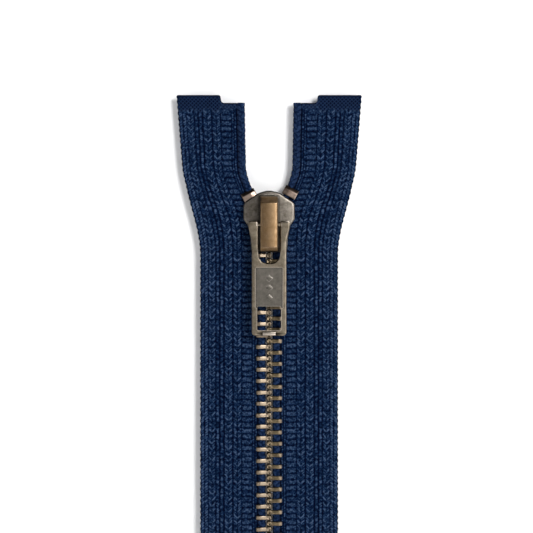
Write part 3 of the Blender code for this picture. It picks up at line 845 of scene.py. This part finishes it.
def tooth_points(side, index, random):
    """Grid points of one tooth's front and back, slightly irregular like stamped and worn teeth."""
    u_grid, v_share = np.meshgrid(TOOTH_COLUMNS, np.linspace(-1, 1, TOOTH_ROWS))
    half_height = tooth_half_height(u_grid)
    v = v_share * half_height
    rim = np.minimum(half_height - np.abs(v), TOOTH_END - u_grid)
    rim = np.minimum(rim, u_grid + TOOTH_HEAD + 0.02)
    from_head = np.hypot(u_grid - 0.02, v)
    on_head = smoothstep((0.75 - u_grid) / 0.3)
    face = rounded_face(tooth_half_thickness(u_grid), rim, 0.17)
    shoulder = on_head * 0.22 * smoothstep((from_head - 0.42) / 0.3)
    dimple = 0.2 * np.exp(-((from_head / 0.24) ** 2))
    dimple_rim = 0.04 * np.exp(-(((from_head - 0.4) / 0.12) ** 2))
    face = face - shoulder - dimple + dimple_rim
    face = face * (1 + 0.025 * random.standard_normal())
    lean = 0.014 * random.standard_normal()
    z = tooth_height(side, index)
    out = u_grid + spread(z) + 0.02 * random.standard_normal()
    height = v + z + lean * (u_grid - 1) + 0.02 * random.standard_normal()
    return sheet_points(side, out, height, face, face)


def tooth_painted_highlight(side):
    """How much painted highlight each grid point of a tooth gets, as the light from the right falls:
    on the left the whole leg, and the head somewhat, and on the right the end of the leg, and the
    head hardly."""
    end = smoothstep((TOOTH_COLUMNS - 2.35) / 0.3)
    leg = smoothstep((TOOTH_COLUMNS - 0.55) / 0.3)
    if side == LEFT:
        rubbed_and_highlight = 0.7 * leg + 0.6 * (1 - leg)
    else:
        rubbed_and_highlight = leg * (0.12 + 0.85 * end) + 0.2 * (1 - leg)
    return np.tile(rubbed_and_highlight, 2 * TOOTH_ROWS)


def teeth(name, side, low, high, surface, random):
    """The teeth between two heights, as one piece."""
    points = []
    faces = []
    pattern = sheet_faces(TOOTH_ROWS, len(TOOTH_COLUMNS), side == LEFT)
    for index in range(TEETH_PER_SIDE):
        one_tooth = tooth_points(side, index, random)
        if low <= tooth_height(side, index) < high:
            faces.append(pattern + len(points) * len(one_tooth))
            points.append(one_tooth)
    mesh = mesh_from(name, np.concatenate(points), np.concatenate(faces))
    # Painted highlight on the teeth, by the side that the light falls on
    add_attribute(mesh, "painted_highlight", np.tile(tooth_painted_highlight(side), len(points)))
    return piece_from(name, mesh, surface, 45)


def worn_block(name, x, v, place, crest, round_radius, surface):
    """A small crowned block from a grid over its front: x runs across and v up from its middle.
    crest is its half thickness, and place turns the grid into side, u and z."""
    rim = np.minimum(x.max() - np.abs(x), v.max() - np.abs(v))
    face = rounded_face(crest, rim, round_radius)
    side, u, z = place
    faces = sheet_faces(*x.shape, side == LEFT)
    mesh = mesh_from(name, sheet_points(side, u, z, face, face), faces)
    return piece_from(name, mesh, surface, 50)


def centred_grid(half_width, half_height, columns, rows):
    """A grid of x and v over a rectangle about its middle."""
    across = np.linspace(-half_width, half_width, columns)
    return np.meshgrid(across, np.linspace(-half_height, half_height, rows))


def top_stop(name, side, middle_z, surface):
    """A clamp on the bead above the last tooth, turned with the bead. Its upper third slopes back."""
    x, v = centred_grid(TOP_STOP_HALF_WIDTH, TOP_STOP_HALF_HEIGHT, 27, 19)
    upper_slope = 0.42 * np.clip((v - 0.3) / 0.7, 0, 1)
    inner_slope = 0.2 * np.clip((-x - 0.5) / 1.0, 0, 1)
    crest = TOOTH_THICKNESS / 2 - upper_slope - inner_slope
    from_bead = x + TOP_STOP_OUTWARD
    out = from_bead * math.cos(TOP_STOP_TURN) + v * math.sin(TOP_STOP_TURN)
    rise = v * math.cos(TOP_STOP_TURN) - from_bead * math.sin(TOP_STOP_TURN)
    place = (side, out + BEAD_CENTRE + spread(middle_z), rise + middle_z)
    return worn_block(name, x, v, place, crest, 0.16, surface)


def bottom_stop(name, surface):
    """The staple that closes the lower end: a crowned bar over both beads, front and back."""
    low, high = BOTTOM_STOP_LOW, BOTTOM_STOP_HIGH
    x, v = centred_grid(high.x, (high.z - low.z) / 2, 45, 25)
    end_slope = 0.3 * smoothstep((np.abs(x) - 1.9) / 1.3)
    middle_dent = 0.12 * np.exp(-((x / 0.35) ** 2))
    crest = (high.y - low.y) / 2 - end_slope - middle_dent
    place = (RIGHT, x, v + (high.z + low.z) / 2)
    return worn_block(name, x, v, place, crest, 0.4, surface)


# Slider, cover and pull


def lane_cutter():
    """The Y-shaped channel for the chain: one lane at the tail, two at the mouth, and the diamond
    between them."""
    levels = np.arange(SLIDER_TAIL_Z - 1, SLIDER_TOP_Z + 2.01, 0.6)
    mouth = SLIDER_TOP_Z - MOUTH_START
    reach = CHANNEL_HALF_WIDTH + spread(levels) + MOUTH_FLARE * smoothstep((levels - mouth) / 2)
    wall = list(zip(reach, levels))
    island = spread(levels) - TOOTH_HEAD - DIAMOND_CLEARANCE
    diamond = [(x, z) for x, z in zip(island, levels) if x > 0.1]
    right = wall + diamond[::-1]
    left = [(-x, z) for x, z in reversed(right)]
    tip = (0.0, diamond[0][1] - 0.5)
    return plate("lanes", right + [tip] + left, 2 * CHANNEL_HALF_DEPTH, TAPE_Y)


def mark_painted_shade(mesh):
    """Paints shade on the casting's front face beside the cover, where the two meet, and inside the
    chain's channel.
    """
    points = np.empty(3 * len(mesh.vertices))
    mesh.vertices.foreach_get("co", points)
    x, y, z = points.reshape(-1, 3).T
    # Painted shade beside the cover and inside the channel
    near_cover = smoothstep((2.75 - np.abs(x)) / 0.7) * (z < COVER_HIGH.z + 0.3)
    on_front = y < TAPE_Y - SLIDER_FRONT + 0.25
    in_channel = (np.abs(y - TAPE_Y) < CHANNEL_HALF_DEPTH + 0.05) * (np.abs(x) < 3.0)
    add_attribute(mesh, "painted_shade", np.maximum(0.9 * near_cover * on_front, 0.8 * in_channel))


def casting_blank():
    """The casting's outer form before its channel is cut: wide at the shoulders, round at the
    mouth and narrow at the tail."""
    top = SLIDER_TOP_Z
    tail = SLIDER_TAIL_Z
    corners = [
        (TAIL_HALF_WIDTH, tail, 0.8),
        (TAIL_HALF_WIDTH + 0.2, tail + 3.2, 3.0),
        (4.8, top - 8.0, 1.5),
        (SHOULDER_HALF_WIDTH, top - 6.5, 0.8),
        (SHOULDER_HALF_WIDTH, top - 2.8, 1.5),
        (2.4, top - 0.5, 3.0),
        (0.6, top, 2.0),
    ]
    depth = SLIDER_FRONT + SLIDER_BACK
    middle = TAPE_Y + (SLIDER_BACK - SLIDER_FRONT) / 2
    blank = plate("slider", mirrored_outline(corners), depth, middle)
    return bevelled(blank, 0.42, clamp=False)


def tape_slot(side):
    """The slot in the flange, for the tape on one side. It follows the spread of the bead."""
    top = SLIDER_TOP_Z + 2
    tail = SLIDER_TAIL_Z - 1
    outside = side * 12
    levels = np.arange(tail, top + 0.01, 1.0)
    reach = side * (CHANNEL_HALF_WIDTH - 0.5 + spread(levels))
    outer = [(outside, top), (outside, tail)]
    return plate("tape_slot", list(zip(reach, levels)) + outer, 2 * TAPE_SLOT_HALF_DEPTH, TAPE_Y)


def slider_body(surface):
    """The die-cast body: two plates with flanges, joined by the diamond, with a low pedestal under
    the cover, and the hole for the lock lever's tip."""
    front_y = TAPE_Y - SLIDER_FRONT
    channel_y = TAPE_Y - CHANNEL_HALF_DEPTH
    body = cut(casting_blank(), lane_cutter())
    for side in SIDES.values():
        body = cut(body, tape_slot(side))
    corners = [
        (PEDESTAL_HALF_WIDTH, SLIDER_TAIL_Z + 0.9, 0.3),
        (PEDESTAL_HALF_WIDTH, SLIDER_TOP_Z - 1.3, 0.5),
        (0.8, SLIDER_TOP_Z - 0.75, 1.2),
    ]
    pedestal = plate("pedestal", mirrored_outline(corners), 0.8, front_y + 0.3)
    body = combined(body, bevelled(pedestal, 0.06, segments=2), "UNION")
    tip_z = low_mm("lock_lever").z
    low = (-1.75, front_y - 2, tip_z - 0.35)
    hole = block("lock_hole", low, (-0.55, channel_y + 0.3, tip_z + 0.75))
    body = cut(body, hole)
    crown_front(body, channel_y, 0.34, high_mm("slider_body").x)
    mark_painted_shade(body.data)
    return metal_piece(body, "slider_casting", surface)


def cover_front(z):
    """The y of the cover's front at height z. It slopes back at both ends, and its rims are round."""
    from_top = COVER_HIGH.z - z
    from_bottom = z - COVER_LOW.z
    top_slope = 1.35 * max(0.0, 1 - from_top / 1.45)
    low_slope = 0.9 * max(0.0, 1 - from_bottom / 0.9)
    end_round = 0.12 * (1 - ridge(1 - min(from_top / 0.2, from_bottom / 0.2, 1)))
    return COVER_LOW.y + top_slope + low_slope + end_round


def cover_blank(half_width):
    """The cover as a solid: a crowned strip with rounded long edges, down to behind its foot."""
    low, high = COVER_LOW.z, COVER_HIGH.z
    levels = np.concatenate(
        [
            [low, low + 0.08],
            np.linspace(low + 0.2, low + 1.2, 8),
            np.linspace(low + 1.6, high - 2.0, 22),
            np.linspace(high - 1.7, high - 0.2, 10),
            [high - 0.08, high],
        ]
    )
    radius = 0.42
    crown = 0.16
    bend = np.linspace(0, math.pi / 2, 7)
    flat = np.linspace(-1, 1, 13)[1:-1] * (half_width - radius)
    side_bend = half_width - radius + radius * np.sin(bend)
    x_profile = np.concatenate([-side_bend[::-1], flat, side_bend])
    side_drop = radius - radius * np.cos(bend)
    drop = np.concatenate([side_drop[::-1], np.zeros(len(flat)), side_drop])
    drop = drop + crown * (x_profile / half_width) ** 2
    foot_y = COVER_HIGH.y + 0.3
    points = []
    for z in levels:
        points.append((-half_width, foot_y, z))
        points += [(x, cover_front(z) + down, z) for x, down in zip(x_profile, drop)]
        points.append((half_width, foot_y, z))
    rows = len(levels)
    index = np.arange(len(points)).reshape(rows, -1)
    foot = [[index[r, -1], index[r, 0], index[r + 1, 0], index[r + 1, -1]] for r in range(rows - 1)]
    ends = [index[0][::-1].tolist(), index[-1].tolist()]
    mesh = mesh_from("cover", np.array(points), grid_faces(index).tolist() + foot + ends)
    return baked(loose_object("cover", mesh))


def slider_cover(surface):
    """The stamped cover: a hollow strip with sloped ends, and a window in each side for the pull's
    bar."""
    half_width = COVER_HIGH.x + 0.05
    wall = COVER_WALL
    behind = COVER_HIGH.y + 1
    front = COVER_LOW.y + wall
    outline = [
        (behind, COVER_LOW.z + wall),
        (behind, COVER_HIGH.z - wall),
        (front + 1.15, COVER_HIGH.z - wall),
        (front + 0.15, COVER_HIGH.z - 1.6),
        (front + 0.15, COVER_LOW.z + 1.2),
        (front + 0.75, COVER_LOW.z + wall),
    ]
    cap = cut(cover_blank(half_width), plate("cavity", outline, 2 * (half_width - wall), 0, "YZ"))
    past = 3
    low = (-past, COVER_HIGH.y, COVER_LOW.z - 1)
    cap = cut(cap, block("below", low, (past, COVER_HIGH.y + past, COVER_HIGH.z + 1)))
    window = block("bar_window", (-past, PULL_Y - 0.7, PIVOT_Z - 0.75), (past, TAPE_Y, PIVOT_Z + 0.75))
    return metal_piece(cut(cap, window), "cover_stamping", surface)


def pull_blank():
    """The pull's outer form: a fork with rounded rims."""
    corners = [
        (PULL_HALF_WIDTH, PULL_LOW.z, 0.8),
        (PULL_HALF_WIDTH, PIVOT_Z - 4.0, 5.0),
        (EAR_HALF_WIDTH, PIVOT_Z - 0.6, 0.8),
        (EAR_HALF_WIDTH, PULL_HIGH.z, 0.5),
        (FORK_HALF_GAP, PULL_HIGH.z, 0.5),
        (FORK_HALF_GAP, FORK_BOTTOM_Z, 2.1),
    ]
    blank = plate("pull", mirrored_outline(corners, 6), PULL_THICKNESS, PULL_Y)
    return bevelled(blank, 0.3, clamp=False)


def with_relief(tab, name, outline, thickness, depth, round_width):
    """The pull with a small raised plate, its middle at depth below the pull's front."""
    raised = plate(name, outline, thickness, PULL_Y - PULL_THICKNESS / 2 + depth)
    return combined(tab, bevelled(raised, round_width, segments=2), "UNION")


def pull_tab(surface, panel_surface):
    """The pull: a flat fork with rounded rims round a recessed panel, a small plain relief on the
    panel, a window at the free end, and the bar that runs under the cover."""
    corners = [(WINDOW_HALF_WIDTH, WINDOW_LOW_Z, 0.35), (WINDOW_HALF_WIDTH, WINDOW_HIGH_Z, 0.35)]
    tab = cut(pull_blank(), plate("window", mirrored_outline(corners), 4, PULL_Y))
    corners = [(PANEL_HALF_WIDTH, WINDOW_HIGH_Z - 0.4, 0.15), (PANEL_HALF_WIDTH, PANEL_HIGH_Z, 0.3)]
    panel_y = PULL_THICKNESS / 2 - PANEL_DEPTH
    for face in (-1, 1):
        recess = plate("panel", mirrored_outline(corners), 1.0, PULL_Y + face * (panel_y + 0.5))
        tab = cut(tab, recess)
    for height in LOZENGE_HEIGHTS:
        corners = [(0.0, height - 0.8, 0.1), (0.85, height, 0.1), (0.0, height + 0.8, 0.1)]
        outline = rounded_outline(corners + [(-0.85, height, 0.1)])
        tab = with_relief(tab, "lozenge", outline, 0.24, 0.25, 0.1)
    pad = mirrored_outline([(1.46, PULL_LOW.z + 0.1, 0.1), (1.46, PULL_LOW.z + 0.8, 0.1)])
    tab = with_relief(tab, "pad", pad, 0.5, 0.2, 0.08)
    bar = rod("bar", PULL_BAR_RADIUS, (0, PULL_Y, PIVOT_Z), PULL_BAR_LENGTH)
    piece = metal_piece(combined(tab, bar, "UNION"), "pull_casting", surface)
    piece.data.materials.append(panel_surface)
    near = 0.02
    for face in piece.data.polygons:
        x, y, z = face.center / MM
        sunk = abs(y - PULL_Y) < PULL_THICKNESS / 2 - 0.1
        level = WINDOW_HIGH_Z + near < z < PANEL_HIGH_Z - near
        if sunk and level and abs(x) < PANEL_HALF_WIDTH - near:
            face.material_index = 1
    return piece


# Stage


def paper(name):
    """Plain white paper, with its tree and its shader."""
    made, tree, shader = new_material(name)
    inputs = {
        "Base Color": (0.93, 0.93, 0.93, 1),
        "Roughness": 0.9,
        "Specular IOR Level": 0.0,
        "Emission Color": (1, 1, 1, 1),
        "Emission Strength": 0.05,
    }
    set_inputs(tree, shader, inputs)
    return made, tree, shader


def floor_paper(name):
    """Paper that stays pale to the camera far away from the lamps."""
    made, tree, shader = paper(name)
    place = add_node(tree, "ShaderNodeTexCoord", "Object")
    distance = add_node(tree, "ShaderNodeVectorMath", "Value", {0: place}, operation="LENGTH")
    glow = remap(tree, distance, 0.12, 0.5, 0.05, 0.9)
    seen = add_node(tree, "ShaderNodeLightPath", "Is Camera Ray")
    set_inputs(tree, shader, {"Emission Strength": maths(tree, "MULTIPLY", glow, seen)})
    return made


def backdrop_paper(name):
    """Paper that can be seen and lit through from behind."""
    made, tree, shader = paper(name)
    behind = add_node(tree, "ShaderNodeNewGeometry", "Backfacing")
    shadow = add_node(tree, "ShaderNodeLightPath", "Is Shadow Ray")
    inputs = {
        0: maths(tree, "MAXIMUM", behind, shadow),
        1: shader.outputs["BSDF"],
        2: add_node(tree, "ShaderNodeBsdfTransparent", "BSDF"),
    }
    mixed = add_node(tree, "ShaderNodeMixShader", "Shader", inputs)
    set_inputs(tree, tree.nodes["Material Output"], {"Surface": mixed})
    return made


def stage_plane(name, points, surface):
    """A flat part of the stage."""
    mesh = mesh_from(name, np.array(points) * MM, [[0, 1, 2, 3]])
    mesh.materials.append(surface)
    made = loose_object(name, mesh)
    return made


def area_light(name, place, target, size, power):
    """A square softbox at place, aimed at target. Places are in millimetres."""
    data = bpy.data.lights.new(name, "AREA")
    data.shape = "RECTANGLE"
    data.size = size * MM
    data.size_y = size * MM
    data.energy = power
    light = loose_object(name, data)
    light.location = Vector(place) * MM
    aim = (Vector(target) - Vector(place)).normalized()
    light.rotation_euler = aim.to_track_quat("-Z", "Y").to_euler()


def build_world():
    """White to the camera, an even glow on the cloth, and for the metal's reflections a room that
    is bright ahead to the right and dark above and below."""
    world = bpy.data.worlds.new("studio")
    bpy.context.scene.world = world
    world.use_nodes = True
    tree = world.node_tree
    place = add_node(tree, "ShaderNodeTexCoord", "Generated")
    ahead = remap(tree, axis_of(tree, place, "Y"), -1.0, 0.2, 0.2, 0.7)
    right = remap(tree, axis_of(tree, place, "X"), -0.25, 0.3, 0.5, 1.9)
    above = remap(tree, axis_of(tree, place, "Z"), 0.12, 0.55, 1.0, 0.08)
    below = remap(tree, axis_of(tree, place, "Z"), -0.8, -0.15, 0.35, 1.0)
    room = product(tree, ahead, right, above, below)
    reflected = add_node(tree, "ShaderNodeLightPath", "Is Glossy Ray")
    strength = add_node(tree, "ShaderNodeMix", 0, {0: reflected, 2: 0.22, 3: room})
    seen = add_node(tree, "ShaderNodeLightPath", "Is Camera Ray")
    strength = add_node(tree, "ShaderNodeMix", 0, {0: seen, 2: strength, 3: 1.0})
    inputs = {"Strength": strength, "Color": (1, 1, 1, 1)}
    set_inputs(tree, tree.nodes["Background"], inputs)


def build_camera():
    """The camera: level, and straight in front of the upper part of the zipper."""
    camera = bpy.data.cameras.new("camera")
    camera.lens = 150
    camera.sensor_width = 36
    distance = PICTURE_WIDTH * camera.lens / camera.sensor_width
    seat = loose_object("camera", camera)
    seat.location = Vector((PICTURE_MIDDLE_X, TAPE_Y - distance, PICTURE_MIDDLE_Z)) * MM
    seat.rotation_euler = (math.radians(90), 0, 0)
    bpy.context.scene.camera = seat
    bpy.context.scene.view_settings.view_transform = "Standard"


def build_stage():
    """A white floor and backdrop, and soft light from the right."""
    wall_y = TAPE_Y + SLIDER_BACK + 0.25
    floor_z = -0.3
    reach = 900
    wall = [(-reach, wall_y, 0), (reach, wall_y, 0), (reach, wall_y, reach), (-reach, wall_y, reach)]
    corners = ((-reach, -reach), (reach, -reach), (reach, reach), (-reach, reach))
    ground = [(x, y, floor_z) for x, y in corners]
    stage_plane("backdrop", wall, backdrop_paper("backdrop_paper"))
    stage_plane("floor", ground, floor_paper("floor_paper"))
    middle = (0, TAPE_Y, 105)
    area_light("key", (300, -590, 290), middle, 210, 3.9)
    area_light("fill", (-420, -420, 160), middle, 300, 0.28)
    area_light("rear", (150, 600, 300), middle, 400, 5.0)
    build_world()
    build_camera()


# The whole zipper


def build_side(word, side, surfaces):
    """One side of the zipper: its tape, cord, teeth and top stop."""
    stringer = word + "_stringer"
    top_of_cord = TAPE_TOP_Z - TAPE_TOP_STEP
    lengths = (
        ("below", 0, SEAM_Z, SEAM_Z, "lower_stringers", stringer, SLIDER_TRAVEL),
        ("above", SEAM_Z, top_of_cord, TAPE_TOP_Z, stringer, word + "_tape_end", 0),
    )
    for part, low, cord_top, tooth_top, before, after, drop in lengths:
        random = np.random.default_rng(5 + side)
        tape = tape_length(f"{word}_tape_{part}", side, part == "above", surfaces["tape"])
        cord = cord_length(f"{word}_cord_{part}", side, low, cord_top, surfaces["cord"])
        row = teeth(f"{word}_teeth_{part}", side, low, tooth_top, surfaces["teeth"], random)
        for piece, slot in ((tape, "navy_tape"), (cord, "navy_cord"), (row, "tooth_brass")):
            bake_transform(piece)
    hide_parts(word + "_lower_tape", word + "_upper_tape")
    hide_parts(word + "_lower_chain", word + "_upper_chain")
    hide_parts(word + "_tape_end")
    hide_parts(word + "_bead_end")

    stop = top_stop(word + "_stop_clamp", side, TOP_STOP_HEIGHTS[word], surfaces["stop"])
    place_piece(stop, word + "_top_stop", word + "_top_stop")


def place_piece(piece, body, node):
    """Attaches a rigid piece to its body, and hides the CAD node that it stands for."""
    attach(piece, body)
    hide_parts(node)


def build_slider(surfaces):
    """The slider's casting, cover and pull, and the finish of the lock parts inside."""
    place_piece(slider_body(surfaces["slider"]), "slider", "slider_body")
    place_piece(slider_cover(surfaces["cover"]), "slider", "slider_cover")
    pull = pull_tab(surfaces["pull"], surfaces["panel"])
    place_piece(pull, "pull", "pull_tab")
    for node in ("lock_lever", "leaf_spring"):
        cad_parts[node].material_slots[0].material = surfaces["steel"]


surfaces = {
    "tape": cloth_material(
        "navy_woven_tape",
        gap=(0.0, 0.001, 0.009),
        shade=(0.001, 0.007, 0.027),
        body=(0.009, 0.024, 0.062),
        crest=(0.038, 0.064, 0.125),
    ),
    "cord": cloth_material(
        "navy_wrapped_cord",
        gap=(0.0, 0.001, 0.008),
        shade=(0.001, 0.006, 0.024),
        body=(0.003, 0.010, 0.034),
        crest=(0.013, 0.027, 0.068),
    ),
    "teeth": metal_material(
        "tooth_brass_worn_and_highlit",
        patina=(0.07, 0.052, 0.028),
        body=(0.285, 0.215, 0.118),
        rubbed_and_highlight=(0.36, 0.285, 0.215),
        roughness=0.32,
    ),
    "stop": metal_material(
        "copper_brown_stop",
        patina=(0.11, 0.075, 0.058),
        body=(0.43, 0.33, 0.27),
        rubbed_and_highlight=(0.85, 0.70, 0.60),
        roughness=0.34,
    ),
    "slider": metal_material(
        "antique_casting",
        patina=(0.06, 0.052, 0.04),
        body=(0.225, 0.2, 0.174),
        rubbed_and_highlight=(0.68, 0.62, 0.55),
        roughness=0.36,
        edge_reach=0.5,
        lower_wear_and_highlight=0.2,
    ),
    "pull": metal_material(
        "antique_pull",
        patina=(0.11, 0.09, 0.062),
        body=(0.30, 0.252, 0.19),
        rubbed_and_highlight=(0.47, 0.41, 0.35),
        roughness=0.34,
        edge_reach=0.28,
        lower_wear_and_highlight=0.15,
    ),
    "panel": metal_material(
        "dull_pull_panel",
        patina=(0.08, 0.073, 0.062),
        body=(0.155, 0.141, 0.122),
        rubbed_and_highlight=(0.24, 0.22, 0.195),
        roughness=0.42,
        upper_painted_shade=0.3,
    ),
    "cover": metal_material(
        "warm_cover",
        patina=(0.15, 0.09, 0.042),
        body=(0.29, 0.195, 0.112),
        rubbed_and_highlight=(0.50, 0.40, 0.32),
        roughness=0.36,
        upper_painted_shade=0.2,
    ),
    "steel": metal_material(
        "spring_steel",
        patina=(0.30, 0.29, 0.27),
        body=(0.50, 0.49, 0.47),
        rubbed_and_highlight=(0.80, 0.80, 0.78),
        roughness=0.3,
    ),
}
for word, side in SIDES.items():
    build_side(word, side, surfaces)
build_slider(surfaces)
staple = bottom_stop("bottom_staple", surfaces["stop"])
place_piece(staple, "lower_stringers", "bottom_stop")
build_stage()
